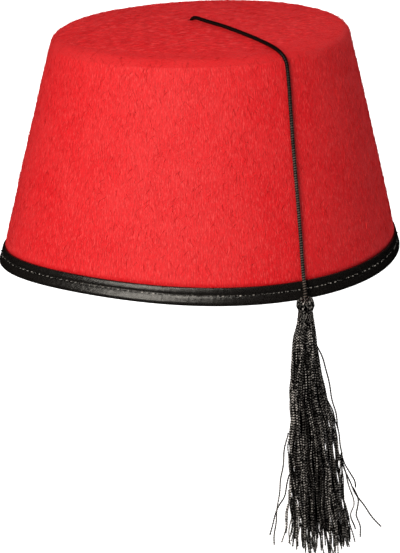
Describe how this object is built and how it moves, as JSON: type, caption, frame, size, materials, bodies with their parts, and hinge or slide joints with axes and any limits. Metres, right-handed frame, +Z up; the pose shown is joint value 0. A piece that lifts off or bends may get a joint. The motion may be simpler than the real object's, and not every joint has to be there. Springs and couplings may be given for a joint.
{
  "type": "fez hat",
  "caption": "Tapered oval felt hat with a bound rim and a long thread tassel hanging on a cord from the middle of its top; it sits on a head.",
  "frame": {"origin": "middle of the rim's opening, on the mean level of the binding's lower edge, where the hat sits on a head", "axes": "+Z up through the top; -Y is the front, the narrower end of the oval; +X is the wearer's left, where the tassel hangs"},
  "size_m": [0.1852, 0.2102, 0.2646],
  "materials": {
    "felt": "matt red pressed felt with fine fibres",
    "binding_satin": "black satin tape with a soft sheen",
    "cord_thread": "black wound cord, softly shiny",
    "knot_thread": "black cord, softly shiny",
    "tassel_thread": "black twisted rayon threads with a bright sheen",
    "wrap_thread": "black wound thread, shiny"
  },
  "bodies": {
    "root": {"felt_crown": "felt", "edge_binding": "binding_satin", "cord": "cord_thread", "cord_knot": "knot_thread", "tassel": "tassel_thread", "tassel_neck_wrap": "wrap_thread"}
  },
  "joints": []
}
